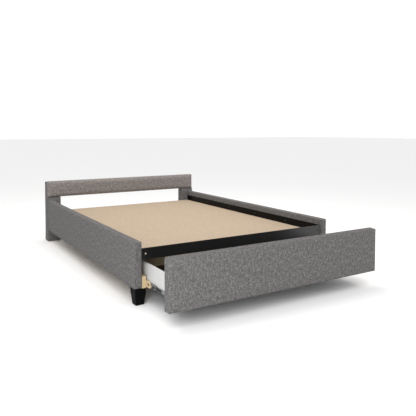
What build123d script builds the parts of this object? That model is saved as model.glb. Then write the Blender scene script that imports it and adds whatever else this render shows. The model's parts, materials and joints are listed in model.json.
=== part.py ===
from build123d import *
import os

# Platform bed, queen size, with one drawer across the foot end.
# X is the width, +Y runs from the foot to the head, +Z is up, millimetres.
# The origin is on the floor, under the middle of the bed with its drawer drawn out.

# ---------------------------------------------------------------- driving sizes
mattress_width = 1524.0
mattress_length = 2032.0
mattress_side_room = 18.0
mattress_end_room = 48.0

rail_thickness = 57.0
rail_height = 302.0
leg_height = 110.0

post_width = 135.0
post_depth = 100.0
post_top_drop = 8.0
post_proud = 6.0
post_glide_height = 5.0
post_glide_radius = 15.0

bar_top = 602.0
bar_height = 161.0
bar_rabbet = 36.0
bar_proud = 2.0
bar_end_setback = 3.0

rail_outer_pad = 12.0
rail_inner_pad = 3.0
rail_inner_lap = 15.0
rail_top_pad = 10.0
rail_end_pad = 10.0
rail_edge_radius = 10.0
rail_bottom_radius = 9.0
post_pad = 6.0
post_edge_radius = 4.0
bar_front_pad = 12.0
bar_edge_pad = 6.0
bar_back_pad = 3.0
bar_edge_radius = 5.0

steel_thickness = 3.0
steel_rim_height = 74.0
steel_flange_width = 40.0
steel_top_below_rail = 48.0
foot_steel_setback = 10.0
foot_steel_tab_length = 30.0
foot_steel_hole_radius = 6.5
foot_steel_hole_inset = 30.0
head_steel_depth = 40.0
head_steel_tab_overlap = 35.0
head_steel_tab_width = 30.0
steel_butt_gap = 1.0

deck_thickness = 15.0
deck_edge_gap = 5.0

beam_width = 40.0
beam_depth = 25.0
beam_wall = 2.0
cross_member_width = 30.0
cross_member_count = 3
centre_leg_size = 38.0
centre_leg_count = 3
centre_leg_end_inset = 90.0
centre_foot_height = 12.0
centre_foot_radius = 17.0
centre_plug_height = 20.0
plug_clearance = 0.2

leg_top_size = 77.0
leg_bottom_size = 58.0
leg_straight_height = 30.0
leg_side_inset = 10.0
leg_end_inset = 5.0
leg_edge_radius = 3.0

batten_thickness = 28.0
batten_height = 74.0
batten_past_drawer = 20.0

front_thickness = 50.0
front_height = 311.0
front_bottom = 104.0
front_side_proud = 4.0
front_front_pad = 12.0
front_edge_pad = 8.0
front_back_pad = 3.0
front_corner_radius = 14.0
front_edge_radius = 9.0

drawer_open = 416.0
drawer_closed_gap = 1.0
drawer_box_depth = 820.0
drawer_side_thickness = 15.0
drawer_side_height = 143.0
drawer_board_thickness = 15.0
drawer_bottom_thickness = 8.0
drawer_bottom_drop = 1.0

slide_length = 750.0
slide_setback = 2.0
slide_width = 12.7
slide_height = 45.0
slide_lift = 4.5
slide_sheet = 1.2
slide_middle_height = 36.0
slide_inner_height = 28.0
slide_cabinet_reach = 9.7
slide_middle_web_start = 2.8
slide_middle_reach = 11.0
slide_inner_reach = 7.2
middle_travel_share = 0.31
ball_play = 0.05
ball_row_count = 6

cage_web_start = 1.6
cage_web = 0.8
cage_strip = 1.2
cage_strip_start = 5.2
cage_strip_end = 9.4
cage_pocket_play = 0.15
cage_corner_radius = 13.0
outer_cage_length = 360.0
outer_cage_nose = 62.0
outer_cage_lag = 2.0
inner_cage_length = 350.0
inner_cage_lag = 198.0
inner_cage_web_start = 4.4

lever_length = 116.0
lever_height = 13.0
lever_thickness = 2.6
lever_from_front = 224.0
lever_pin_radius = 2.5
lever_pin_play = 0.1
lever_float = 0.5
middle_slot_length = 48.0
middle_slot_height = 17.0
middle_slot_inset = 12.0

bolt_radius = 4.0
bolt_length = 35.0
bolt_head_radius = 8.0
bolt_head_height = 3.0
bolt_play = 0.2
bolt_recess_play = 1.0
bracket_height = 80.0
bracket_width = 55.0
bracket_drop = 5.0
stud_reach = 40.0
screw_radius = 1.75
screw_length = 12.0
screw_play = 0.1
slide_screw_count = 4
slide_screw_end = 60.0

# ---------------------------------------------------------------- derived places
inner_half = mattress_width / 2 + mattress_side_room
outer_half = inner_half + rail_thickness
rail_length = mattress_length + mattress_end_room
rest_length = front_thickness + drawer_closed_gap + drawer_open + rail_length + post_depth
foot_y = -rest_length / 2 + front_thickness + drawer_closed_gap + drawer_open
head_y = foot_y + rail_length

rail_bottom = leg_height
rail_top = rail_bottom + rail_height
post_top = bar_top - post_top_drop
post_outer = outer_half + post_proud
post_inner = post_outer - post_width
bar_bottom = bar_top - bar_height

steel_top = rail_top - steel_top_below_rail
steel_bottom = steel_top - steel_rim_height
deck_bottom = steel_bottom + steel_thickness
deck_top = deck_bottom + deck_thickness
steel_inner = inner_half - steel_thickness
flange_inner = inner_half - steel_flange_width
foot_steel_y = foot_y + foot_steel_setback
foot_steel_back = foot_steel_y + steel_thickness
tab_end_y = foot_steel_back + foot_steel_tab_length
beam_bottom = steel_bottom - beam_depth

front_back_y = foot_y - drawer_closed_gap - drawer_open
front_face_y = front_back_y - front_thickness
front_half = outer_half + front_side_proud
box_end_y = front_back_y + drawer_box_depth
batten_inner = inner_half - batten_thickness
drawer_half = batten_inner - slide_width
drawer_inner_half = drawer_half - drawer_side_thickness
drawer_bottom_low = rail_bottom - drawer_bottom_drop
drawer_bottom_top = drawer_bottom_low + drawer_bottom_thickness
drawer_side_top = drawer_bottom_top + drawer_side_height
closed_box_end = foot_y - drawer_closed_gap + drawer_box_depth
batten_end_y = closed_box_end + batten_past_drawer

slide_centre_z = rail_bottom + slide_lift + slide_height / 2
slide_front_y = foot_y + slide_setback
middle_out = drawer_open * middle_travel_share
outer_cage_out = middle_out / 2
inner_cage_out = (drawer_open + middle_out) / 2


# ---------------------------------------------------------------- helpers
def block(x0, x1, y0, y1, z0, z1):
    """A box between two limits along each axis."""
    centre = Pos((x0 + x1) / 2, (y0 + y1) / 2, (z0 + z1) / 2)
    return centre * Box(abs(x1 - x0), abs(y1 - y0), abs(z1 - z0))


def rod(x, y, z, radius, length, axis):
    """A cylinder that starts at a point and runs along +X, -X, +Y, -Y, +Z or -Z."""
    turns = {
        "+x": Rot(0, 90, 0),
        "-x": Rot(0, -90, 0),
        "+y": Rot(-90, 0, 0),
        "-y": Rot(90, 0, 0),
        "+z": Rot(0, 0, 0),
        "-z": Rot(180, 0, 0),
    }
    start = (Align.CENTER, Align.CENTER, Align.MIN)
    return Pos(x, y, z) * turns[axis] * Cylinder(radius, length, align=start)


def other_side(shape):
    """The mirror image across the bed's centre plane."""
    return mirror(shape, about=Plane.YZ)


def near(edges, axis, value):
    """The edges whose centres lie at a value along an axis."""
    return [e for e in edges if abs(getattr(e.center(), axis) - value) < 0.01]


def save(name, *shapes):
    """One STEP file per node; a node may hold several separate solids."""
    solids = [s for shape in shapes for s in shape.solids()]
    whole = solids[0] if len(solids) == 1 else Compound(children=solids)
    export_step(whole, f"parts/{name}.step")


def save_pair(name, shape):
    save(f"{name}_right", shape)
    save(f"{name}_left", other_side(shape))


# ---------------------------------------------------------------- fasteners
def bolt(x, y, z, axis, length=bolt_length):
    """A button head bolt: its head stands on the given point, its shank runs along the axis."""
    back = {"+x": "-x", "-x": "+x", "+y": "-y", "-y": "+y", "+z": "-z", "-z": "+z"}[axis]
    head = rod(x, y, z, bolt_head_radius, bolt_head_height, back)
    rims = head.edges().filter_by(GeomType.CIRCLE)
    outer = max(rims, key=lambda e: (e.center() - Vector(x, y, z)).length)
    head = fillet(outer, bolt_head_height / 2)
    return head + rod(x, y, z, bolt_radius, length, axis)


def bolt_hole(x, y, z, axis, length=bolt_length):
    return rod(x, y, z, bolt_radius + bolt_play, length + bolt_play, axis)


def flush_screw(x, y, z, axis, sheet=slide_sheet):
    """A countersunk screw whose head is flush with a thin sheet that starts at the point."""
    head = Cone(screw_radius, screw_radius + sheet, sheet, align=(Align.CENTER, Align.CENTER, Align.MAX))
    shank = Cylinder(screw_radius, screw_length, align=(Align.CENTER, Align.CENTER, Align.MAX))
    turn = Rot(0, -90, 0) if axis == "+x" else Rot(0, 90, 0)
    return Pos(x, y, z) * turn * (head + shank)


def flush_screw_hole(x, y, z, axis, sheet=slide_sheet):
    wide = screw_radius + screw_play
    head = Cone(wide, wide + sheet, sheet, align=(Align.CENTER, Align.CENTER, Align.MAX))
    shank = Cylinder(wide, screw_length + screw_play, align=(Align.CENTER, Align.CENTER, Align.MAX))
    turn = Rot(0, -90, 0) if axis == "+x" else Rot(0, 90, 0)
    return Pos(x, y, z) * turn * (head + shank)


tab_bolt_y = foot_steel_back + foot_steel_tab_length / 2
rim_bolt_z = (deck_top + steel_top) / 2
tab_bolt_spots = [(tab_bolt_y, rim_bolt_z - 14), (tab_bolt_y, rim_bolt_z + 14)]
side_bolt_step = (rail_length - foot_steel_setback) / 5
side_bolt_spots = [(foot_y + side_bolt_step * i, rim_bolt_z) for i in range(1, 5)]
bracket_top = deck_bottom - head_steel_depth - bracket_drop
bracket_bottom = bracket_top - bracket_height
bracket_bolt_zs = [bracket_bottom + bracket_height / 4, bracket_top - bracket_height / 4]
bracket_rail_y = head_y - bracket_width / 2
bracket_post_x = inner_half - bracket_width / 2

tab_face = steel_inner - steel_thickness


def rail_bolts(maker):
    """The bolts, or their holes, that run from the inside into the right side rail."""
    spots = [maker(steel_inner, y, z, "+x") for y, z in side_bolt_spots]
    spots += [maker(tab_face, y, z, "+x") for y, z in tab_bolt_spots]
    spots += [maker(steel_inner, bracket_rail_y, z, "+x") for z in bracket_bolt_zs]
    return spots


def post_bolts(maker):
    """The bolts, or their holes, that run from a bracket into the right post."""
    return [maker(bracket_post_x, head_y - steel_thickness, z, "+y") for z in bracket_bolt_zs]


bar_bolt_y = head_y + post_depth - post_pad
bar_bolt_length = post_depth - post_pad - bar_rabbet / 2
bar_bolt_zs = [bar_bottom + bar_height / 4, bar_top - bar_height / 4]
bar_bolt_x = (post_inner + post_outer) / 2


def bar_bolts(maker):
    """The long bolts, or their holes, from the back of the right post into the bar."""
    return [maker(bar_bolt_x, bar_bolt_y, z, "-y", bar_bolt_length) for z in bar_bolt_zs]


def bar_bolt_recesses():
    """The round recesses in the post's back padding that take the bolt heads."""
    radius = bolt_head_radius + bolt_recess_play
    return [rod(bar_bolt_x, bar_bolt_y, z, radius, post_pad + 1, "+y") for z in bar_bolt_zs]


def cut_all(shape, tools):
    for tool in tools:
        shape = shape - tool
    return shape


# ---------------------------------------------------------------- side rails
def side_rail():
    """The right side rail: a wooden core under a padded cover that is open below and at the head end.

    On the inside the cover ends a little below the steel frame, and the core is bare under it.
    """
    envelope = block(inner_half, outer_half, foot_y, head_y, rail_bottom, rail_top)
    corners = near(envelope.edges().filter_by(Axis.Z), "Y", foot_y)
    top_edges = near(envelope.edges().filter_by(Axis.Y), "Z", rail_top)
    top_edges += near(near(envelope.edges().filter_by(Axis.X), "Y", foot_y), "Z", rail_top)
    envelope = fillet(corners + top_edges, rail_edge_radius)
    low = [e for e in envelope.edges() if e.bounding_box().max.Z < rail_bottom + 0.01]
    outer_low = [e for e in low if e.center().X > outer_half - 0.01]
    envelope = fillet(outer_low, rail_bottom_radius)
    core = block(
        inner_half + rail_inner_pad,
        outer_half - rail_outer_pad,
        foot_y + rail_end_pad,
        head_y,
        rail_bottom,
        rail_top - rail_top_pad,
    )
    bare_core = block(
        inner_half,
        outer_half - rail_outer_pad,
        foot_y + rail_end_pad,
        head_y,
        rail_bottom,
        steel_bottom - rail_inner_lap,
    )
    core = core + bare_core
    cover = cut_all(envelope - core, rail_bolts(bolt_hole))
    core = cut_all(core, rail_bolts(bolt_hole) + [stud_hole()])
    save_pair("side_rail_cover", cover)
    save_pair("side_rail_core", core)


# ---------------------------------------------------------------- headboard
def post_envelope(inset):
    """The right post, shrunk by an inset on every padded face; its top steps back behind the bar."""
    whole = block(
        post_inner + inset,
        post_outer - inset,
        head_y + inset,
        head_y + post_depth - inset,
        post_glide_height,
        post_top - inset,
    )
    step = block(
        post_inner - 1,
        post_outer + 1,
        head_y - 1,
        head_y + bar_rabbet + inset,
        bar_bottom - inset,
        post_top + 1,
    )
    return whole, step


def headboard_post():
    whole, step = post_envelope(0)
    uprights = whole.edges().filter_by(Axis.Z)
    envelope = fillet(uprights, post_edge_radius) - step
    core, core_step = post_envelope(post_pad)
    core = core - core_step
    cover = envelope - core
    holes = post_bolts(bolt_hole) + bar_bolts(bolt_hole)
    save_pair("headboard_post_cover", cut_all(cover, holes + bar_bolt_recesses()))
    save_pair("headboard_post_core", cut_all(core, holes))
    glide_y = head_y + post_depth / 2
    glide = rod(bar_bolt_x, glide_y, 0, post_glide_radius, post_glide_height, "+z")
    save("post_glides", glide, other_side(glide))


def headboard_bar():
    half = post_outer - bar_end_setback
    face_y = head_y - bar_proud
    back_y = head_y + bar_rabbet
    envelope = block(-half, half, face_y, back_y, bar_bottom, bar_top)
    face_edges = [e for e in envelope.edges() if abs(e.center().Y - face_y) < 0.01]
    envelope = fillet(face_edges, bar_edge_radius)
    core = block(
        -half + bar_edge_pad,
        half - bar_edge_pad,
        face_y + bar_front_pad,
        back_y - bar_back_pad,
        bar_bottom + bar_edge_pad,
        bar_top - bar_edge_pad,
    )
    holes = bar_bolts(bolt_hole)
    holes += [other_side(hole) for hole in holes]
    save("headboard_bar_cover", cut_all(envelope - core, holes))
    save("headboard_bar_core", cut_all(core, holes))
    bolts = bar_bolts(bolt)
    save("headboard_bar_bolts", *bolts, *[other_side(b) for b in bolts])


# ---------------------------------------------------------------- steel frame and deck
def foot_steel():
    """The deep angle across the foot end, with a bolting tab and an open hole at each end."""
    wall = block(-tab_face, tab_face, foot_steel_y, foot_steel_back, steel_bottom, steel_top)
    tab = block(tab_face, steel_inner, foot_steel_y, tab_end_y, steel_bottom, steel_top)
    seat = block(-tab_face, tab_face, foot_steel_back, foot_y + foot_steel_setback + steel_flange_width,
                 steel_bottom, deck_bottom)
    hole_x = inner_half - foot_steel_hole_inset
    hole = rod(hole_x, foot_steel_y - 1, (steel_bottom + steel_top) / 2, foot_steel_hole_radius,
               steel_thickness + 2, "+y")
    tab_holes = [bolt_hole(tab_face, y, z, "+x") for y, z in tab_bolt_spots]
    tab = cut_all(tab, tab_holes)
    whole = wall + seat + tab + other_side(tab)
    save("foot_steel_rail", whole - hole - other_side(hole))


def side_steel():
    start = tab_end_y + steel_butt_gap
    wall = block(steel_inner, inner_half, start, head_y, steel_bottom, steel_top)
    seat_start = foot_y + foot_steel_setback + steel_flange_width + steel_butt_gap
    seat = block(flange_inner, inner_half, seat_start, head_y, steel_bottom, deck_bottom)
    holes = [bolt_hole(steel_inner, y, z, "+x") for y, z in side_bolt_spots]
    save_pair("side_steel_rail", cut_all(wall + seat, holes))


def head_steel():
    """The angle at the head end: its seat carries the deck and its wall hangs below."""
    half = flange_inner - steel_butt_gap
    seat = block(-half, half, head_y - steel_flange_width, head_y, steel_bottom, deck_bottom)
    wall = block(-half, half, head_y - steel_thickness, head_y, deck_bottom - head_steel_depth, deck_bottom)
    tab = block(half - head_steel_tab_overlap, half + head_steel_tab_overlap,
                head_y - steel_flange_width, head_y - steel_flange_width + head_steel_tab_width,
                steel_bottom - steel_thickness, steel_bottom)
    save("head_steel_rail", seat + wall + tab + other_side(tab))


def deck():
    half = inner_half - steel_thickness - deck_edge_gap
    save("deck_panel", block(-half, half, foot_steel_back + 2, head_y - 3, deck_bottom, deck_top))


def centre_beam():
    half = beam_width / 2
    start = foot_steel_y
    end = head_y - steel_thickness
    outside = block(-half, half, start, end, beam_bottom, steel_bottom)
    bore = block(-half + beam_wall, half - beam_wall, start, end, beam_bottom + beam_wall,
                 steel_bottom - beam_wall)
    save("centre_beam", outside - bore)
    tape_start = foot_y + foot_steel_setback + steel_flange_width
    tape_end = head_y - steel_flange_width
    tape = block(-half, half, tape_start, tape_end, steel_bottom, deck_bottom)
    save("deck_tape", tape, *cross_tapes())


def cross_member_ys():
    step = rail_length / (cross_member_count + 1)
    return [foot_y + step * i for i in range(1, cross_member_count + 1)]


def cross_tapes():
    tapes = []
    for y in cross_member_ys():
        side = block(beam_width / 2, flange_inner, y - cross_member_width / 2, y + cross_member_width / 2,
                     steel_bottom, deck_bottom)
        tapes += [side, other_side(side)]
    return tapes


def cross_members():
    members = []
    for y in cross_member_ys():
        y0 = y - cross_member_width / 2
        y1 = y + cross_member_width / 2
        outside = block(beam_width / 2, steel_inner, y0, y1, beam_bottom, steel_bottom)
        bore = block(beam_width / 2, steel_inner, y0 + beam_wall, y1 - beam_wall,
                     beam_bottom + beam_wall, steel_bottom - beam_wall)
        members.append(outside - bore)
    save_pair("cross_member_set", Compound(children=members))


def centre_legs():
    """Square tube legs behind the drawer, each on a nylon foot plugged into the tube."""
    first = batten_end_y + centre_leg_size
    last = head_y - centre_leg_end_inset
    step = (last - first) / (centre_leg_count - 1)
    half = centre_leg_size / 2
    bore_half = half - beam_wall
    plug_half = bore_half - plug_clearance
    feet = []
    for i in range(centre_leg_count):
        y = first + step * i
        outside = block(-half, half, y - half, y + half, centre_foot_height, beam_bottom)
        bore = block(-bore_half, bore_half, y - bore_half, y + bore_half, centre_foot_height, beam_bottom)
        save(f"centre_leg_{i + 1}", outside - bore)
        pad = block(-half, half, y - half, y + half, 0, centre_foot_height)
        rims = near(pad.edges(), "Z", 0)
        pad = fillet(rims, 2)
        plug = block(-plug_half, plug_half, y - plug_half, y + plug_half, centre_foot_height,
                     centre_foot_height + centre_plug_height)
        feet.append(pad + plug)
    save("centre_leg_feet", *feet)


def rail_brackets():
    """An angle that joins the head end of the right side rail to the front of its post."""
    on_rail = block(steel_inner, inner_half, head_y - bracket_width, head_y, bracket_bottom, bracket_top)
    on_post = block(inner_half - bracket_width, inner_half, head_y - steel_thickness, head_y,
                    bracket_bottom, bracket_top)
    bracket = on_rail + on_post
    holes = [bolt_hole(steel_inner, bracket_rail_y, z, "+x") for z in bracket_bolt_zs]
    save_pair("rail_bracket", cut_all(bracket, holes + post_bolts(bolt_hole)))
    bolts = rail_bolts(bolt) + post_bolts(bolt)
    save("frame_bolts", *bolts, *[other_side(b) for b in bolts])


# ---------------------------------------------------------------- front legs
leg_x = outer_half - leg_side_inset - leg_top_size / 2
leg_y = foot_y + leg_end_inset + leg_top_size / 2


def stud_hole():
    return rod(leg_x, leg_y, leg_height - stud_reach, bolt_radius + bolt_play, 2 * stud_reach, "+z")


def front_legs():
    """A square leg, straight at the top and tapered down to the floor, on a threaded stud."""
    straight = block(leg_x - leg_top_size / 2, leg_x + leg_top_size / 2, leg_y - leg_top_size / 2,
                     leg_y + leg_top_size / 2, leg_height - leg_straight_height, leg_height)
    foot = Plane.XY.offset(0) * Pos(leg_x, leg_y) * Rectangle(leg_bottom_size, leg_bottom_size)
    knee = Plane.XY.offset(leg_height - leg_straight_height) * Pos(leg_x, leg_y) * Rectangle(
        leg_top_size, leg_top_size)
    taper = loft([foot.face(), knee.face()])
    leg = straight + taper
    edges = [e for e in leg.edges() if e.bounding_box().size.Z > 1]
    leg = fillet(edges, leg_edge_radius) - stud_hole()
    save_pair("front_leg", leg)
    stud = rod(leg_x, leg_y, leg_height - stud_reach + 1, bolt_radius, 2 * stud_reach - 2, "+z")
    save("leg_studs", stud, other_side(stud))


# ---------------------------------------------------------------- slides
def slide_x(u):
    """The X place of a point u out from the right batten's face towards the drawer."""
    return batten_inner - u


def channel(web_u, reach_u, height, y0, y1):
    """A slide member: an upright web and two flanges that run from it to another u."""
    z0 = slide_centre_z - height / 2
    z1 = slide_centre_z + height / 2
    side = slide_sheet if reach_u > web_u else -slide_sheet
    web = block(slide_x(web_u), slide_x(web_u + side), y0, y1, z0, z1)
    low = block(slide_x(web_u), slide_x(reach_u), y0, y1, z0, z0 + slide_sheet)
    high = block(slide_x(web_u), slide_x(reach_u), y0, y1, z1 - slide_sheet, z1)
    return web + low + high


def screw_ys(start):
    """Evenly spaced screw places along a slide member that starts at a Y."""
    step = (slide_length - 2 * slide_screw_end) / (slide_screw_count - 1)
    return [start + slide_screw_end + step * i for i in range(slide_screw_count)]


def batten_screws(maker):
    return [maker(slide_x(slide_sheet), y, slide_centre_z, "+x") for y in screw_ys(slide_front_y)]


def drawer_screws(maker):
    start = slide_front_y - drawer_open
    return [maker(slide_x(slide_width - slide_sheet), y, slide_centre_z, "-x") for y in screw_ys(start)]


def ball_row(radius, gap_low_height, start, end):
    """Two rows of balls, above and below the slide's centre line."""
    reach = gap_low_height / 2 + ball_play + radius
    step = (end - start) / (ball_row_count - 1)
    u = (cage_strip_start + cage_strip_end) / 2
    balls = []
    for sign in (-1, 1):
        for i in range(ball_row_count):
            spot = Pos(slide_x(u), start + step * i, slide_centre_z + sign * reach)
            balls.append(spot * Sphere(radius))
    return balls


def cage(web_u, strip_height, y0, y1, balls, radius):
    """A channel of thin nylon with a round pocket for each ball."""
    half = strip_height / 2
    web = block(slide_x(web_u), slide_x(web_u + cage_web), y0, y1, slide_centre_z - half,
                slide_centre_z + half)
    body = web
    for sign in (-1, 1):
        z_out = slide_centre_z + sign * half
        z_in = slide_centre_z + sign * (half - cage_strip)
        body += block(slide_x(web_u), slide_x(cage_strip_end), y0, y1, z_in, z_out)
    for ball in balls:
        centre = ball.center()
        reach = radius + cage_pocket_play
        body -= Pos(centre.X, centre.Y, centre.Z) * Cylinder(reach, 4 * radius)
    return body


outer_gap = (slide_height - 2 * slide_sheet - slide_middle_height) / 2
outer_ball = outer_gap / 2 - ball_play
inner_gap = (slide_middle_height - 2 * slide_sheet - slide_inner_height) / 2
inner_ball = inner_gap / 2 - ball_play


def outer_cage():
    """The cage between cabinet and middle members; its windowed nose stands out of the cabinet member."""
    front = slide_front_y + outer_cage_lag - outer_cage_out
    rows_start = front + outer_cage_nose + outer_cage_out
    back = front + outer_cage_length
    balls = ball_row(outer_ball, slide_middle_height, rows_start, back - 3 * outer_ball)
    strip_height = slide_middle_height + outer_gap + cage_strip
    body = cage(cage_web_start, strip_height, front, back, balls, outer_ball)
    window = Pos(slide_x(cage_web_start), front + outer_cage_nose / 2, slide_centre_z) * Rot(0, 90, 0)
    window = window * extrude(SlotOverall(outer_cage_nose * 0.5, strip_height * 0.42, rotation=90),
                              2 * slide_sheet, both=True)
    outline = extrude(RectangleRounded(strip_height, outer_cage_length, cage_corner_radius),
                      slide_width, both=True)
    outline = Pos(slide_x(0), (front + back) / 2, slide_centre_z) * Rot(0, 90, 0) * outline
    save_pair("slide_outer_cage", (body - window) & outline)
    save_pair("slide_outer_balls", Compound(children=balls))


def inner_cage():
    """The cage between middle and drawer members."""
    front = slide_front_y + inner_cage_lag - inner_cage_out
    back = front + inner_cage_length
    ends = 4 * inner_ball
    balls = ball_row(inner_ball, slide_inner_height, front + ends, back - ends)
    strip_height = slide_inner_height + inner_gap + cage_strip
    save_pair("slide_inner_cage", cage(inner_cage_web_start, strip_height, front, back, balls, inner_ball))
    save_pair("slide_inner_balls", Compound(children=balls))


def slide_members():
    cabinet = channel(0, slide_cabinet_reach, slide_height, slide_front_y, slide_front_y + slide_length)
    save_pair("slide_cabinet_member", cut_all(cabinet, batten_screws(flush_screw_hole)))
    middle_front = slide_front_y - middle_out
    middle = channel(slide_middle_web_start, slide_middle_reach, slide_middle_height, middle_front,
                     middle_front + slide_length)
    slot_y = middle_front + middle_slot_inset + middle_slot_length / 2
    slot = Pos(slide_x(slide_middle_web_start), slot_y, slide_centre_z) * Rot(0, 90, 0)
    slot = slot * extrude(SlotOverall(middle_slot_length, middle_slot_height, rotation=90),
                          2 * slide_sheet, both=True)
    save_pair("slide_middle_member", middle - slot)
    drawer_front = slide_front_y - drawer_open
    inner = channel(slide_width, slide_width - slide_inner_reach, slide_inner_height, drawer_front,
                    drawer_front + slide_length)
    inner = cut_all(inner, drawer_screws(flush_screw_hole))
    pin = rod(slide_x(slide_width - slide_sheet), lever_y, slide_centre_z, lever_pin_radius,
              lever_thickness + 2 * lever_float, "+x")
    save_pair("slide_drawer_member", inner + pin)
    screws = batten_screws(flush_screw)
    save("batten_screws", *screws, *[other_side(s) for s in screws])
    screws = drawer_screws(flush_screw)
    save("drawer_side_screws", *screws, *[other_side(s) for s in screws])


lever_y = slide_front_y - drawer_open + lever_from_front + lever_length / 2


def release_levers():
    """A flat lever that rocks on the drawer member's pin and frees the drawer from the slide."""
    u1 = slide_width - slide_sheet - lever_float
    outline = extrude(SlotOverall(lever_length, lever_height, rotation=90), lever_thickness)
    lever = Pos(slide_x(u1), lever_y, slide_centre_z) * Rot(0, 90, 0) * outline
    bore = rod(slide_x(slide_width), lever_y, slide_centre_z, lever_pin_radius + lever_pin_play,
               slide_width, "+x")
    save_pair("release_lever", lever - bore)


# ---------------------------------------------------------------- drawer
front_bolt_xs = [drawer_inner_half * share for share in (-0.8, -0.27, 0.27, 0.8)]
front_bolt_z = (drawer_bottom_top + drawer_side_top) / 2


def front_bolts(maker):
    """The bolts, or their holes, from inside the box into the upholstered front."""
    y = front_back_y + drawer_board_thickness
    return [maker(x, y, front_bolt_z, "-y") for x in front_bolt_xs]


def drawer_front():
    top = front_bottom + front_height
    envelope = block(-front_half, front_half, front_face_y, front_back_y, front_bottom, top)
    envelope = fillet(envelope.edges().filter_by(Axis.Y), front_corner_radius)
    face_edges = [e for e in envelope.edges() if abs(e.center().Y - front_face_y) < 0.01]
    envelope = fillet(face_edges, front_edge_radius)
    core = block(
        -front_half + front_edge_pad,
        front_half - front_edge_pad,
        front_face_y + front_front_pad,
        front_back_y - front_back_pad,
        front_bottom + front_edge_pad,
        top - front_edge_pad,
    )
    core = fillet(core.edges().filter_by(Axis.Y), front_corner_radius - front_edge_pad)
    save("drawer_front_cover", cut_all(envelope - core, front_bolts(bolt_hole)))
    save("drawer_front_core", cut_all(core, front_bolts(bolt_hole)))
    save("drawer_front_bolts", *front_bolts(bolt))


def drawer_box():
    side = block(drawer_inner_half, drawer_half, front_back_y, box_end_y, drawer_bottom_top, drawer_side_top)
    save_pair("drawer_side", cut_all(side, drawer_screws(flush_screw_hole)))
    board = block(-drawer_inner_half, drawer_inner_half, front_back_y,
                  front_back_y + drawer_board_thickness, drawer_bottom_top, drawer_side_top)
    save("drawer_box_front", cut_all(board, front_bolts(bolt_hole)))
    save("drawer_back", block(-drawer_inner_half, drawer_inner_half, box_end_y - drawer_board_thickness,
                              box_end_y, drawer_bottom_top, drawer_side_top))
    save("drawer_bottom", block(-drawer_half, drawer_half, front_back_y, box_end_y, drawer_bottom_low,
                                drawer_bottom_top))


def runner_battens():
    batten = block(batten_inner, inner_half, foot_y, batten_end_y, rail_bottom, rail_bottom + batten_height)
    save_pair("runner_batten", cut_all(batten, batten_screws(flush_screw_hole)))


# ---------------------------------------------------------------- build
os.makedirs("parts", exist_ok=True)
side_rail()
headboard_post()
headboard_bar()
foot_steel()
side_steel()
head_steel()
deck()
centre_beam()
cross_members()
centre_legs()
rail_brackets()
front_legs()
runner_battens()
slide_members()
outer_cage()
inner_cage()
release_levers()
drawer_front()
drawer_box()
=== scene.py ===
import json
import math

import bpy
import numpy as np
from mathutils import Matrix, Vector


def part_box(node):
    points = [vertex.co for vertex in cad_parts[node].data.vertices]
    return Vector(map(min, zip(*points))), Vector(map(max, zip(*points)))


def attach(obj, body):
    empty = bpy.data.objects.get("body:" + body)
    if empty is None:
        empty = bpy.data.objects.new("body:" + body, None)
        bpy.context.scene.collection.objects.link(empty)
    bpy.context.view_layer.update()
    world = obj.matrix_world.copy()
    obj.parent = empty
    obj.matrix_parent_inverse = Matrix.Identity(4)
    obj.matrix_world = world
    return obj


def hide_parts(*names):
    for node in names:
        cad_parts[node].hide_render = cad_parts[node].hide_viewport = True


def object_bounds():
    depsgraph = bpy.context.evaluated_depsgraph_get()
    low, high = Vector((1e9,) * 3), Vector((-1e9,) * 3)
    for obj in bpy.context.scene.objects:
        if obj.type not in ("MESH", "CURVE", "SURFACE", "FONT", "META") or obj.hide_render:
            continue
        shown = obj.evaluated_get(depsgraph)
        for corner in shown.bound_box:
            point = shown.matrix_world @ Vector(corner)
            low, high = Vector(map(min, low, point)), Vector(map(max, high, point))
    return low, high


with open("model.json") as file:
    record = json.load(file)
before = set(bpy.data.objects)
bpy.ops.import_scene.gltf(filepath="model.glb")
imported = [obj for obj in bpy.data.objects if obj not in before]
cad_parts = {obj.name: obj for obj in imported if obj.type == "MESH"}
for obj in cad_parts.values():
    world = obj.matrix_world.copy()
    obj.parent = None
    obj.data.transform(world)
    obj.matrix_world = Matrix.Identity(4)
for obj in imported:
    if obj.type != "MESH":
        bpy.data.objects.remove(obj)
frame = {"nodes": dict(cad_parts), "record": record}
cad_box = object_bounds()
scene = bpy.context.scene
scene.view_settings.view_transform = "Standard"

MM = 0.001
CLOTH_UV = "cloth"

# ------------------------------------------------------------------ camera
CAMERA_PLACE = Vector((-2.0736, -3.6180, 1.1102))
CAMERA_AHEAD = Vector((0.49245, 0.86944, -0.03958))
CAMERA_RIGHT = Vector((0.87012, -0.49284, 0.0))
CAMERA_UP = CAMERA_RIGHT.cross(CAMERA_AHEAD)
CAMERA_LENS = 42.012
CAMERA_SENSOR = 36.0
CAMERA_SHIFT = (0.0689, -0.1399)
CAMERA_REACH = 200.0

camera = bpy.data.objects.new("camera", bpy.data.cameras.new("camera"))
scene.collection.objects.link(camera)
turn = Matrix((CAMERA_RIGHT, CAMERA_UP, -CAMERA_AHEAD)).transposed()
camera.matrix_world = Matrix.Translation(CAMERA_PLACE) @ turn.to_4x4()
camera.data.lens = CAMERA_LENS
camera.data.sensor_width = CAMERA_SENSOR
camera.data.shift_x, camera.data.shift_y = CAMERA_SHIFT
camera.data.clip_end = CAMERA_REACH
scene.camera = camera


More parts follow.
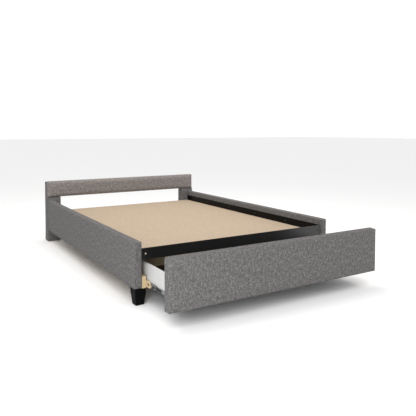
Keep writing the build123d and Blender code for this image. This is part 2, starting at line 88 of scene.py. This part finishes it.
# ------------------------------------------------------------------ lights
def world_light(even, from_right, seen):
    """A studio dome, brighter towards +X; seen is how bright the backdrop itself looks."""
    world = bpy.data.worlds.new("studio")
    scene.world = world
    world.use_nodes = True
    tree = world.node_tree
    background = tree.nodes["Background"]
    background.inputs["Color"].default_value = (1.0, 1.0, 1.0, 1.0)
    direction = tree.nodes.new("ShaderNodeTexCoord")
    parts = tree.nodes.new("ShaderNodeSeparateXYZ")
    tree.links.new(direction.outputs["Generated"], parts.inputs[0])
    lobe = tree.nodes.new("ShaderNodeMapRange")
    lobe.inputs["To Min"].default_value = even
    lobe.inputs["To Max"].default_value = even + from_right
    tree.links.new(parts.outputs[0], lobe.inputs["Value"])
    rays = tree.nodes.new("ShaderNodeLightPath")
    share = tree.nodes.new("ShaderNodeMapRange")
    share.inputs["To Max"].default_value = seen
    tree.links.new(rays.outputs["Is Camera Ray"], share.inputs["Value"])
    tree.links.new(lobe.outputs["Result"], share.inputs["To Min"])
    tree.links.new(share.outputs["Result"], background.inputs["Strength"])


def sun(name, towards, strength, spread, colour):
    """A distant soft light that shines along a direction."""
    data = bpy.data.lights.new(name, "SUN")
    data.energy = strength
    data.angle = math.radians(spread)
    data.color = colour
    light = bpy.data.objects.new(name, data)
    light.rotation_euler = Vector(towards).to_track_quat("-Z", "Y").to_euler()
    scene.collection.objects.link(light)


def softbox(name, place, aim, size, power, colour):
    """A square panel light at a place, facing a point."""
    data = bpy.data.lights.new(name, "AREA")
    data.energy = power
    data.size = size
    data.color = colour
    light = bpy.data.objects.new(name, data)
    light.location = place
    light.visible_camera = False
    light.rotation_euler = (Vector(aim) - Vector(place)).to_track_quat("-Z", "Y").to_euler()
    scene.collection.objects.link(light)


WHITE = (1.0, 1.0, 1.0)
WARM = (1.0, 0.95, 0.90)
world_light(0.44, 0.30, 1.05)
sun("high_key", (0.32, 0.52, -0.79), 0.98, 36.0, WHITE)
sun("left_light", (0.45, 0.0, -0.89), 0.62, 60.0, WHITE)
softbox("right_front_box", (4.2, -4.6, 0.9), (0.4, -0.9, 0.3), 2.2, 48.0, WHITE)
softbox("left_front_box", (-2.5, -3.1, 1.1), (-0.85, -1.0, 0.25), 1.2, 44.0, (0.98, 0.99, 1.0))
softbox("over_deck_box", (0.1, 0.3, 3.0), (0.1, 0.6, 0.3), 2.6, 55.0, WARM)


# ------------------------------------------------------------------ node helpers
class Graph:
    """One material's node tree, ending in a Principled shader."""

    def __init__(self, name):
        self.material = bpy.data.materials.new(name)
        self.material.use_nodes = True
        self.tree = self.material.node_tree
        self.tree.nodes.clear()
        self.shader = self.tree.nodes.new("ShaderNodeBsdfPrincipled")
        output = self.tree.nodes.new("ShaderNodeOutputMaterial")
        self.tree.links.new(self.shader.outputs["BSDF"], output.inputs["Surface"])

    def plug(self, socket, value):
        """Links a socket to another, or sets it to a number or colour."""
        if isinstance(value, bpy.types.NodeSocket):
            self.tree.links.new(value, socket)
        elif hasattr(value, "__len__") and len(value) == 3 and len(socket.default_value) == 4:
            socket.default_value = (*value, 1.0)
        else:
            socket.default_value = value

    def set(self, **values):
        """Sets the shader's own sockets; an underscore stands for a space."""
        for key, value in values.items():
            self.plug(self.shader.inputs[key.replace("_", " ")], value)

    def node(self, kind, out=0, inputs=(), **settings):
        made = self.tree.nodes.new("ShaderNode" + kind)
        for key, value in settings.items():
            setattr(made, key, value)
        for key, value in dict(inputs).items():
            self.plug(made.inputs[key], value)
        return made.outputs[out]

    def math(self, operation, *values):
        made = self.tree.nodes.new("ShaderNodeMath")
        made.operation = operation
        for k, value in enumerate(values):
            self.plug(made.inputs[k], value)
        return made.outputs[0]

    def place(self):
        """The point on the object, in metres, which goes with the object."""
        return self.node("TexCoord", "Object")

    def split(self, vector):
        """The X, Y and Z of a vector."""
        parts = self.tree.nodes.new("ShaderNodeSeparateXYZ")
        self.plug(parts.inputs[0], vector)
        return parts.outputs

    def stretched(self, vector, scale):
        return self.node("Mapping", 0, {"Vector": vector, "Scale": scale})

    def noise(self, vector, scale, detail, roughness):
        inputs = {
            "Vector": vector,
            "Scale": scale,
            "Detail": detail,
            "Roughness": roughness,
        }
        return self.node("TexNoise", 0, inputs)

    def cells(self, vector, scale):
        """A random grey for each cell of a broken pattern."""
        made = self.tree.nodes.new("ShaderNodeTexVoronoi")
        self.plug(made.inputs["Vector"], vector)
        self.plug(made.inputs["Scale"], scale)
        return self.node("SeparateColor", 0, {"Color": made.outputs["Color"]})

    def ramp(self, value, *stops):
        """A colour ramp from (place, colour) pairs."""
        made = self.tree.nodes.new("ShaderNodeValToRGB")
        elements = made.color_ramp.elements
        while len(elements) < len(stops):
            elements.new(0.5)
        for element, (place, colour) in zip(elements, stops):
            element.position = place
            element.color = (*colour, 1.0)
        self.plug(made.inputs["Fac"], value)
        return made.outputs["Color"]

    def spread(self, value, low, high, out_low, out_high):
        """Maps a number from one range to another, held at the ends."""
        inputs = {
            "Value": value,
            "From Min": low,
            "From Max": high,
            "To Min": out_low,
            "To Max": out_high,
        }
        return self.node("MapRange", 0, inputs)

    def mix(self, share, first, second, blend="MIX"):
        made = self.tree.nodes.new("ShaderNodeMix")
        made.data_type = "RGBA"
        made.blend_type = blend
        self.plug(made.inputs[0], share)
        self.plug(made.inputs[6], first)
        self.plug(made.inputs[7], second)
        return made.outputs[2]

    def bump(self, height, distance, strength=1.0):
        inputs = {"Height": height, "Distance": distance, "Strength": strength}
        self.set(Normal=self.node("Bump", 0, inputs))


def shade(colour, factor):
    return tuple(min(1.0, c * factor) for c in colour)


# ------------------------------------------------------------------ materials
THREAD = 2.3 * MM


def fabric(name, tint):
    """A coarse plain weave of heather yarns, in grey with paler, darker and reddish slubs, with painted shade
    in the valleys between the yarns.
    """
    g = Graph(name)
    uv = g.node("UVMap", 0, uv_map=CLOTH_UV)
    parts = g.split(uv)
    across = g.math("DIVIDE", parts[0], THREAD)
    along = g.math("DIVIDE", parts[1], THREAD)
    column = g.math("FLOOR", across)
    row = g.math("FLOOR", along)

    # The tint colours the yarns; for the headboard cloth it also carries painted light.
    def dyed_and_lit(grey):
        return tuple(grey * t for t in tint)

    def yarn(cross, length, index, sign):
        """A yarn's round height, raised where it passes over the other set."""
        bulge = g.math("POWER", g.math("ABSOLUTE", g.math("SINE", g.math("MULTIPLY", cross, math.pi))), 0.8)
        wave = g.math("SINE", g.math("MULTIPLY", g.math("ADD", length, index), math.pi))
        lift = g.math("MULTIPLY_ADD", wave, 0.5 * sign, 0.5)
        return g.math("MULTIPLY", bulge, lift)

    warp = yarn(across, along, column, 1.0)
    weft = yarn(along, across, row, -1.0)
    height = g.math("MAXIMUM", warp, weft)
    warp_over = g.math("GREATER_THAN", warp, weft)

    def yarn_tone(index, length, seed):
        """Each yarn's own tone, which changes slowly along it."""
        spot = g.node(
            "CombineXYZ",
            0,
            {"X": g.math("MULTIPLY", index, 0.73), "Y": g.math("MULTIPLY", length, 0.11), "Z": seed},
        )
        return g.noise(spot, 1.0, 2.0, 0.6)

    warp_tone = yarn_tone(column, along, 3.1)
    weft_tone = yarn_tone(row, across, 8.7)
    tone = g.node("Mix", 0, {"Factor": warp_over, 2: weft_tone, 3: warp_tone})
    slub_map = g.stretched(uv, (1.0, 0.62, 1.0))
    slubs = g.noise(slub_map, 165.0, 3.0, 0.65)
    patches = g.noise(slub_map, 62.0, 2.0, 0.5)
    fleck = g.noise(slub_map, 200.0, 2.0, 0.6)
    mixed = g.math("MULTIPLY_ADD", slubs, 0.54, g.math("MULTIPLY", tone, 0.20))
    mixed = g.math("ADD", mixed, g.math("MULTIPLY", patches, 0.26))
    grey = g.ramp(
        mixed,
        (0.32, dyed_and_lit(0.0430)),
        (0.45, dyed_and_lit(0.0993)),
        (0.53, dyed_and_lit(0.1493)),
        (0.64, dyed_and_lit(0.2713)),
    )
    red = g.spread(g.noise(slub_map, 78.0, 2.0, 0.6), 0.52, 0.70, 0.0, 0.40)
    warm = g.mix(red, grey, (0.155, 0.110, 0.102))
    pale = g.spread(fleck, 0.62, 0.74, 0.0, 0.35)
    colour = g.mix(pale, warm, (0.31, 0.31, 0.31))
    # Painted shade: the low parts of the weave, between the raised yarns, are darkened to 70 % of the yarn
    # colour.
    valley_shade = g.spread(height, 0.0, 0.5, 0.70, 1.0)
    colour = g.mix(1.0, colour, g.node("CombineColor", 0, {0: valley_shade, 1: valley_shade, 2: valley_shade}), "MULTIPLY")
    rough = g.spread(tone, 0.3, 0.7, 0.84, 0.96)
    g.set(Base_Color=colour, Roughness=rough, Specular_IOR_Level=0.12)
    g.set(Sheen_Weight=0.03, Sheen_Roughness=0.5)
    fuzz = g.noise(uv, 1900.0, 2.0, 0.7)
    relief = g.math("MULTIPLY_ADD", fuzz, 0.25, height)
    g.bump(relief, 0.45 * MM, 0.75)
    return g.material


def particleboard():
    """Pressed chips: pale and brown flakes of two sizes, with fine grain between them."""
    g = Graph("particleboard")
    place = g.place()
    coarse = g.cells(g.stretched(place, (1.0, 0.62, 1.0)), 190.0)
    fine = g.cells(g.stretched(place, (0.7, 1.0, 1.0)), 430.0)
    cloud = g.noise(place, 5.0, 3.0, 0.55)
    grain = g.noise(place, 900.0, 2.0, 0.6)
    mixed = g.math("MULTIPLY_ADD", coarse, 0.34, g.math("MULTIPLY", fine, 0.36))
    mixed = g.math("MULTIPLY_ADD", grain, 0.20, mixed)
    mixed = g.math("MULTIPLY_ADD", cloud, 0.10, mixed)
    colour = g.ramp(
        mixed,
        (0.15, (0.325, 0.250, 0.172)),
        (0.40, (0.395, 0.310, 0.222)),
        (0.58, (0.430, 0.342, 0.250)),
        (0.85, (0.500, 0.410, 0.312)),
    )
    g.set(Base_Color=colour, Roughness=g.spread(grain, 0.3, 0.7, 0.62, 0.82), Specular_IOR_Level=0.3)
    g.bump(g.math("ADD", mixed, grain), 0.25 * MM, 0.6)
    return g.material


def timber(name, dark, light, ring, centre, rough):
    """Sawn softwood: rings about a far centre line along Y.

    An end then shows arcs, and a side shows long grain.
    """
    g = Graph(name)
    place = g.place()
    parts = g.split(place)
    wander = g.noise(g.stretched(place, (6.0, 1.1, 6.0)), 1.6, 3.0, 0.55)
    x = g.math("SUBTRACT", g.math("ABSOLUTE", parts[0]), centre[0])
    z = g.math("SUBTRACT", parts[2], centre[1])
    reach = g.math("SQRT", g.math("ADD", g.math("MULTIPLY", x, x), g.math("MULTIPLY", z, z)))
    turns = g.math("MULTIPLY_ADD", wander, 3.2, g.math("DIVIDE", reach, ring))
    part = g.math("FRACT", turns)
    late = g.math("POWER", part, 2.4)
    fibre = g.noise(g.stretched(place, (1.0, 0.03, 1.0)), 1400.0, 3.0, 0.6)
    tone = g.math("MULTIPLY_ADD", fibre, 0.30, g.math("MULTIPLY", late, 0.75))
    colour = g.ramp(tone, (0.05, light), (0.40, shade(light, 0.93)), (0.85, dark))
    g.set(Base_Color=colour, Roughness=g.spread(fibre, 0.3, 0.7, rough - 0.06, rough + 0.08))
    g.set(Specular_IOR_Level=0.35)
    g.bump(g.math("SUBTRACT", fibre, late), 0.18 * MM, 0.6)
    return g.material


def fibreboard():
    """Tan pressed fibre with short strands and soft cloudiness."""
    g = Graph("raw_fibreboard")
    place = g.place()
    fibre = g.noise(g.stretched(place, (0.35, 1.0, 1.0)), 700.0, 4.0, 0.65)
    cloud = g.noise(place, 14.0, 2.0, 0.5)
    tone = g.math("MULTIPLY_ADD", fibre, 0.75, g.math("MULTIPLY", cloud, 0.25))
    colour = g.ramp(tone, (0.3, (0.52, 0.40, 0.24)), (0.55, (0.64, 0.51, 0.33)), (0.75, (0.74, 0.62, 0.43)))
    g.set(Base_Color=colour, Roughness=g.spread(fibre, 0.3, 0.7, 0.70, 0.86), Specular_IOR_Level=0.3)
    g.bump(fibre, 0.15 * MM, 0.5)
    return g.material


def laminate(name, low, high, rough, pitch, depth):
    """A printed board face with a fine pressed texture and faint cloudiness."""
    g = Graph(name)
    place = g.place()
    cloud = g.noise(place, 9.0, 3.0, 0.5)
    grain = g.noise(g.stretched(place, (1.0, 0.25, 1.0)), pitch, 3.0, 0.6)
    tone = g.math("MULTIPLY_ADD", cloud, 0.5, g.math("MULTIPLY", grain, 0.5))
    colour = g.ramp(tone, (0.30, low), (0.70, high))
    g.set(Base_Color=colour, Roughness=g.spread(grain, 0.3, 0.7, rough - 0.05, rough + 0.07))
    g.set(Specular_IOR_Level=0.45)
    g.bump(grain, depth, 0.5)
    return g.material


def powder_coat(name, gloss):
    """Satin black paint with orange peel and a few paler rub marks."""
    g = Graph(name)
    place = g.place()
    peel = g.noise(place, 1100.0, 2.0, 0.5)
    cloud = g.noise(place, 7.0, 3.0, 0.5)
    marks = g.noise(g.stretched(place, (0.25, 0.25, 1.0)), 160.0, 4.0, 0.7)
    tone = g.math("MULTIPLY_ADD", marks, 0.5, g.math("MULTIPLY", cloud, 0.5))
    colour = g.ramp(
        tone,
        (0.35, (0.0018, 0.0018, 0.0019)),
        (0.62, (0.0034, 0.0034, 0.0036)),
        (0.85, (0.02, 0.02, 0.02)),
    )
    g.set(Base_Color=colour, Roughness=g.spread(tone, 0.35, 0.75, 0.30, 0.42), Specular_IOR_Level=gloss)
    g.bump(peel, 0.06 * MM, 0.5)
    return g.material


def moulded(name, colour, rough, gloss=0.45):
    """Moulded plastic with a fine spark-eroded skin."""
    g = Graph(name)
    place = g.place()
    grain = g.noise(place, 1500.0, 3.0, 0.6)
    cloud = g.noise(place, 22.0, 2.0, 0.5)
    tone = g.math("MULTIPLY_ADD", grain, 0.4, g.math("MULTIPLY", cloud, 0.6))
    look = g.ramp(tone, (0.30, shade(colour, 0.82)), (0.70, shade(colour, 1.22)))
    g.set(Base_Color=look, Roughness=g.spread(tone, 0.3, 0.7, rough - 0.06, rough + 0.08))
    g.set(Specular_IOR_Level=gloss)
    g.bump(grain, 0.08 * MM, 0.5)
    return g.material


def rolled(g, place, low, high, rough):
    """Fine lines along the length and soft cloudiness: returns the clouds and the colour."""
    lines = g.noise(g.stretched(place, (1.0, 0.02, 1.0)), 2600.0, 3.0, 0.6)
    cloud = g.noise(place, 38.0, 3.0, 0.6)
    tone = g.math("MULTIPLY_ADD", lines, 0.45, g.math("MULTIPLY", cloud, 0.55))
    g.set(Roughness=g.spread(tone, 0.3, 0.7, rough - 0.07, rough + 0.10))
    g.bump(lines, 0.04 * MM, 0.4)
    return cloud, g.ramp(tone, (0.30, low), (0.70, high))


def plated(name, low, high, rough, metal=1.0):
    """Rolled and plated steel."""
    g = Graph(name)
    colour = rolled(g, g.place(), low, high, rough)[1]
    g.set(Base_Color=colour, Metallic=metal)
    return g.material


def slide_steel(name, low, high, rough, lip):
    """Plated slide rail whose lower lip is darkened to near black and made non-metallic, as painted shade
    under the rail.
    """
    g = Graph(name)
    place = g.place()
    cloud, colour = rolled(g, place, low, high, rough)
    height = g.math("MULTIPLY_ADD", cloud, 2.0 * MM, g.split(place)[2])
    # Painted shade: below the lip height the plate turns near black (0.008) and loses its metal look,
    # standing in for the shadow under the rail.
    lip_shade = g.spread(height, lip - 1.0 * MM, lip + 2.0 * MM, 1.0, 0.0)
    g.set(Base_Color=g.mix(lip_shade, colour, (0.008, 0.008, 0.008)))
    g.set(Metallic=g.spread(lip_shade, 0.0, 1.0, 1.0, 0.0), Specular_IOR_Level=0.3)
    return g.material


def foam_tape():
    """Black foam with open pores."""
    g = Graph("foam_tape")
    place = g.place()
    pores = g.cells(place, 900.0)
    colour = g.ramp(pores, (0.1, (0.02, 0.02, 0.02)), (0.9, (0.07, 0.07, 0.07)))
    g.set(Base_Color=colour, Roughness=g.spread(pores, 0.0, 1.0, 0.85, 0.95), Specular_IOR_Level=0.2)
    g.bump(pores, 0.2 * MM, 0.6)
    return g.material


PINE_CENTRE = (0.90, 0.135)
CORE_CENTRE = (0.70, 0.95)
WHITE_BOARD = ((0.54, 0.54, 0.535), (0.60, 0.60, 0.595))
BLACK_BOARD = ((0.010, 0.010, 0.011), (0.030, 0.030, 0.031))
SLIDE_LIP = 125.0 * MM
looks = {
    "fabric": fabric("heather_fabric", (0.975, 0.955, 0.945)),
    "particleboard": particleboard(),
    "pine": timber("planed_pine", (0.33, 0.21, 0.10), (0.56, 0.45, 0.28), 4.5 * MM, PINE_CENTRE, 0.55),
    "core_wood": timber("raw_timber", (0.36, 0.22, 0.11), (0.60, 0.44, 0.27), 5.5 * MM, CORE_CENTRE, 0.70),
    "tan_board": fibreboard(),
    "white_board": laminate("white_laminate", *WHITE_BOARD, 0.40, 800.0, 0.05 * MM),
    "black_board": laminate("black_laminate", *BLACK_BOARD, 0.48, 420.0, 0.3 * MM),
    "black_steel": powder_coat("black_powder_coat", 0.55),
    "zinc_steel": plated("zinc_plate", (0.20, 0.20, 0.21), (0.36, 0.36, 0.37), 0.42),
    "bolt_steel": plated("black_zinc", (0.012, 0.012, 0.012), (0.03, 0.03, 0.03), 0.50, 0.5),
    "ball_steel": plated("polished_steel", (0.60, 0.60, 0.61), (0.72, 0.72, 0.73), 0.15),
    "leg_plastic": moulded("leg_plastic", (0.0026, 0.0026, 0.0027), 0.55, 0.05),
    "tan_nylon": moulded("natural_nylon", (0.56, 0.44, 0.27), 0.42),
    "black_nylon": moulded("black_nylon", (0.014, 0.014, 0.014), 0.48),
    "felt": foam_tape(),
}

for part in frame["record"]["subparts"]:
    shown = frame["nodes"][part["node"]]
    shown.data.materials.clear()
    shown.data.materials.append(looks[part["material_slot"]])

matt_black = powder_coat("matt_powder_coat", 0.10)
slide_plate = slide_steel("slide_plate", (0.24, 0.24, 0.25), (0.42, 0.42, 0.43), 0.42, SLIDE_LIP)
for each_side in ("left", "right"):
    frame["nodes"][f"side_steel_rail_{each_side}"].data.materials[0] = matt_black
    for member in ("cabinet", "middle", "drawer"):
        frame["nodes"][f"slide_{member}_member_{each_side}"].data.materials[0] = slide_plate


# ------------------------------------------------------------------ padded pieces
CELL = 11.0 * MM
BEND_STEPS = 4


def lines_along(low, high, low_bend, high_bend, stops=()):
    """Grid lines on one axis: close where the surface bends, even elsewhere, and through each stop."""
    eighth = math.pi / 4
    steps = [k / BEND_STEPS for k in range(BEND_STEPS)]
    first, last = low + low_bend, high - high_bend
    before, after = [], []
    if low_bend:
        before = [first - low_bend * math.tan(eighth * (1 - s)) for s in steps]
    if high_bend:
        after = [last + high_bend * math.tan(eighth * (s + 1 / BEND_STEPS)) for s in steps]
    marks = [first, *[s for s in sorted(stops) if first < s < last], last]
    middle = []
    for a, b in zip(marks, marks[1:]):
        count = max(1, round((b - a) / CELL))
        middle += [a + (b - a) * k / count for k in range(count)]
    return before + middle + [last] + after


def skin(name, low, high, low_bends, high_bends, stops=((), (), ()), hollow=None, bare=None):
    """The outside of a block of padding as a quad mesh with rounded edges.

    hollow says which grid cells are cut away, and bare which outside faces have no cloth.
    The cloth map is laid flat over each face in metres, and meets at the edges.
    """
    axes = [lines_along(low[i], high[i], low_bends[i], high_bends[i], stops[i]) for i in range(3)]
    counts = [len(a) - 1 for a in axes]

    def filled(cell):
        if any(cell[i] < 0 or cell[i] >= counts[i] for i in range(3)):
            return False
        middle = [(axes[i][cell[i]] + axes[i][cell[i] + 1]) / 2 for i in range(3)]
        return not (hollow and hollow(*middle))

    def edge_cells():
        """Cells that can have an outside face."""
        if hollow:
            return [(i, j, k) for i in range(counts[0]) for j in range(counts[1]) for k in range(counts[2])]
        found = set()
        for axis in range(3):
            others = [i for i in range(3) if i != axis]
            for end in (0, counts[axis] - 1):
                for a in range(counts[others[0]]):
                    for b in range(counts[others[1]]):
                        cell = [0, 0, 0]
                        cell[axis], cell[others[0]], cell[others[1]] = end, a, b
                        found.add(tuple(cell))
        return sorted(found)

    index, corners, quads, maps = {}, [], [], []
    for cell in edge_cells():
        if not filled(cell):
            continue
        for axis in range(3):
            for side in (0, 1):
                beyond = list(cell)
                beyond[axis] += 2 * side - 1
                if filled(tuple(beyond)):
                    continue
                u, v = [(1, 2), (2, 0), (0, 1)][axis]
                loop = [(0, 0), (1, 0), (1, 1), (0, 1)]
                if side == 0:
                    loop.reverse()
                quad = []
                for du, dv in loop:
                    key = list(cell)
                    key[axis] += side
                    key[u] += du
                    key[v] += dv
                    quad.append(tuple(key))
                sharp = [[axes[i][key[i]] for i in range(3)] for key in quad]
                centre = [sum(p[i] for p in sharp) / 4 for i in range(3)]
                if bare and bare(axis, side, *centre):
                    continue
                ids = []
                for key, p in zip(quad, sharp):
                    if key not in index:
                        index[key] = len(corners)
                        corners.append(p)
                    ids.append(index[key])
                quads.append(ids)
                maps.append([flat_place(axis, side, p, low, high) for p in sharp])
    points = np.array(corners)
    lows, highs = np.array(low), np.array(high)
    bend_low, bend_high = np.array(low_bends, float), np.array(high_bends, float)
    centre = np.clip(points, lows + bend_low, highs - bend_high)
    away = points - centre
    reach = np.where(away < 0, bend_low, bend_high)
    share = np.divide(away, reach, out=np.zeros_like(away), where=reach > 0)
    size = np.linalg.norm(share, axis=1, keepdims=True)
    most = np.abs(share).max(1, keepdims=True)
    share = np.divide(share * most, size, out=np.zeros_like(share), where=size > 0)
    points = centre + share * reach
    mesh = bpy.data.meshes.new(name)
    mesh.from_pydata([tuple(p) for p in points], [], quads)
    layer = mesh.uv_layers.new(name=CLOTH_UV)
    flat = np.array([uv for face in maps for uv in face], np.float32)
    layer.uv.foreach_set("vector", flat.ravel())
    mesh.materials.append(looks["fabric"])
    piece = bpy.data.objects.new(name, mesh)
    scene.collection.objects.link(piece)
    return piece


def flat_place(axis, side, p, low, high):
    """Where a point of the block lies on the flat cloth: X or Y across, Z along, folded over at the edges."""
    x, y, z = p
    if axis == 0:
        return (y if side else -y, z)
    if axis == 1:
        return (x, z)
    long_x = high[0] - low[0] > high[1] - low[1]
    edge = high[2] if side else low[2]
    turn = 1.0 if side else -1.0
    return (x, edge + turn * (y - low[1])) if long_x else (y, edge + turn * (high[0] - x))


CLOTH_FRAMES = 20


def swell(piece, held, cap, pressure=4.0):
    """Fills the padding out with a cloth simulation, and limits how far any point moves.

    held says which points stay on the board.
    """
    mesh = piece.data
    rest = np.array([v.co for v in mesh.vertices])
    fixed = [i for i, p in enumerate(rest) if held(*p)]
    group = piece.vertex_groups.new(name="held")
    group.add(fixed, 1.0, "REPLACE")
    cloth = piece.modifiers.new("padding", "CLOTH")
    cloth.settings.quality = 4
    cloth.settings.mass = 0.15
    cloth.settings.tension_stiffness = 12.0
    cloth.settings.compression_stiffness = 12.0
    cloth.settings.shear_stiffness = 5.0
    cloth.settings.bending_stiffness = 0.4
    cloth.settings.use_pressure = True
    cloth.settings.uniform_pressure_force = pressure
    cloth.settings.vertex_group_mass = "held"
    cloth.settings.effector_weights.gravity = 0.0
    cloth.point_cache.frame_start = 1
    cloth.point_cache.frame_end = CLOTH_FRAMES
    for number in range(1, CLOTH_FRAMES + 1):
        scene.frame_set(number)
    shaped = piece.evaluated_get(bpy.context.evaluated_depsgraph_get())
    moved = np.array([v.co for v in shaped.data.vertices]) - rest
    piece.modifiers.remove(cloth)
    piece.vertex_groups.remove(group)
    scene.frame_set(1)
    length = np.linalg.norm(moved, axis=1, keepdims=True)
    keep = np.divide(cap * np.tanh(length / cap), length, out=np.zeros_like(length), where=length > 0)
    mesh.vertices.foreach_set("co", (rest + moved * keep).astype(np.float32).ravel())
    mesh.update()


def finish_piece(piece, body, nodes, thickness=0.0):
    """Smooths the piece, gives it its thickness and says what it stands for."""
    smooth = piece.modifiers.new("smooth", "SUBSURF")
    smooth.levels = smooth.render_levels = 1
    if thickness:
        solid = piece.modifiers.new("thick", "SOLIDIFY")
        solid.thickness = thickness
        solid.offset = -1.0
        solid.use_rim = True
    shaped = piece.evaluated_get(bpy.context.evaluated_depsgraph_get())
    piece.data = bpy.data.meshes.new_from_object(shaped)
    piece.modifiers.clear()
    piece.data.shade_smooth()
    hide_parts(*nodes)
    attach(piece, body)


COVER_THICKNESS = 2.5 * MM
INNER_LAP = 15.0 * MM
UNDER_LAP = 10.0 * MM


def rail_cover(side):
    """The padded cover of one side rail: outside, top, foot end and the upper inside.

    Its inside ends INNER_LAP below the steel rail, and it turns UNDER_LAP under the board.
    """
    node = f"side_rail_cover_{side}"
    low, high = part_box(node)
    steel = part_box(f"side_steel_rail_{side}")
    bare_top = steel[0].z - INNER_LAP
    right = side == "right"
    inner = 0 if right else 1
    bends_low, bends_high = [10.0 * MM, 10.0 * MM, 9.0 * MM], [10.0 * MM, 0.0, 10.0 * MM]
    inside_x = low.x if right else high.x
    outside_x = high.x if right else low.x
    foot_end = low.y + bends_low[1]

    def bare(axis, face, x, y, z):
        if axis == 1 and face == 1:
            return True
        if axis == 2 and face == 0:
            return y > foot_end and abs(x - outside_x) > UNDER_LAP
        return axis == 0 and face == inner and y > foot_end and z < bare_top

    stops = ((), (), (bare_top,))
    piece = skin(f"rail_padding_{side}", low, high, bends_low, bends_high, stops, bare=bare)

    def held(x, y, z):
        at_inside = abs(x - inside_x) < 1.0 * MM and y > low.y + 3.0 * MM
        at_end = y < low.y + 1.5 * MM or y > high.y - 5.0 * MM
        return at_inside or at_end or z < low.z + 3.0 * MM

    swell(piece, held, 3.0 * MM)
    finish_piece(piece, "bed_frame", [node], COVER_THICKNESS)


CREASE_HEIGHT = 24.0 * MM
CREASE_DEPTH = 5.0 * MM
CREASE_ROWS = 4


def post_cover(side):
    """The covered post, stepped back behind the bar and creased just below it."""
    node = f"headboard_post_cover_{side}"
    low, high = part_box(node)
    bar_low, bar_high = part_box("headboard_bar_cover")
    bends = [5.0 * MM, 5.0 * MM, 3.0 * MM]

    def hollow(x, y, z):
        return y < bar_high.y and z > bar_low.z

    creased = [bar_low.z - CREASE_HEIGHT * k / CREASE_ROWS for k in range(1, CREASE_ROWS + 1)]
    stops = ((), (bar_high.y,), (bar_low.z, *creased))
    piece = skin(f"post_padding_{side}", low, high, bends, bends, stops, hollow=hollow)

    def held(x, y, z):
        behind_bar = z > bar_low.z - 1.0 * MM and y < bar_high.y + 1.0 * MM
        against_rail = y < low.y + 1.0 * MM
        return behind_bar or against_rail or z < low.z + 2.0 * MM or y > high.y - 1.0 * MM

    swell(piece, held, 1.2 * MM, pressure=2.0)
    for vertex in piece.data.vertices:
        below = (bar_low.z - vertex.co.z) / CREASE_HEIGHT
        if -0.1 <= below < 1.0 and vertex.co.y < low.y + CREASE_DEPTH:
            vertex.co.y += CREASE_DEPTH * (1.0 - max(0.0, 1.5 * below - 0.5))
    finish_piece(piece, "bed_frame", [node])


# Painted light: the headboard cloth is the same heather fabric, tinted about 1.4 to 1.5 times lighter and
# warmer to stand in for the stronger light on the bar.
headboard_lit_fabric = fabric("headboard_lit_fabric", (1.50, 1.40, 1.34))


def bar_cover():
    """The padded bar, in a copy of the cloth made lighter and warmer as painted light, held along its back.
    """
    low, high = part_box("headboard_bar_cover")
    bends_low, bends_high = [9.0 * MM, 11.0 * MM, 12.0 * MM], [9.0 * MM, 1.5 * MM, 10.0 * MM]
    piece = skin("headboard_bar_padding", low, high, bends_low, bends_high)
    piece.data.materials[0] = headboard_lit_fabric

    def held(x, y, z):
        return y > high.y - 6.0 * MM

    swell(piece, held, 7.0 * MM, pressure=9.0)
    finish_piece(piece, "bed_frame", ["headboard_bar_cover"])


def front_cover():
    """The padded drawer front, held along its back."""
    low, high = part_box("drawer_front_cover")
    bends_low, bends_high = [12.0 * MM, 9.0 * MM, 12.0 * MM], [12.0 * MM, 2.5 * MM, 12.0 * MM]
    piece = skin("drawer_front_padding", low, high, bends_low, bends_high)

    def held(x, y, z):
        return y > high.y - 8.0 * MM

    swell(piece, held, 3.5 * MM)
    finish_piece(piece, "drawer", ["drawer_front_cover"])


for each_side in ("left", "right"):
    rail_cover(each_side)
    post_cover(each_side)
bar_cover()
front_cover()


# ------------------------------------------------------------------ floor
FLOOR_HALF = 60.0
FLOOR_DROP = 0.3 * MM


def floor():
    """A plain pale studio floor."""
    g = Graph("pale_floor")
    g.set(Base_Color=(0.95, 0.95, 0.95), Roughness=0.9, Specular_IOR_Level=0.0)
    mesh = bpy.data.meshes.new("studio_floor")
    corners = [(x * FLOOR_HALF, y * FLOOR_HALF, 0) for x, y in ((-1, -1), (1, -1), (1, 1), (-1, 1))]
    mesh.from_pydata(corners, [], [(0, 1, 2, 3)])
    mesh.materials.append(g.material)
    ground = bpy.data.objects.new("studio_floor", mesh)
    ground.location.z = cad_box[0].z - FLOOR_DROP
    scene.collection.objects.link(ground)


floor()
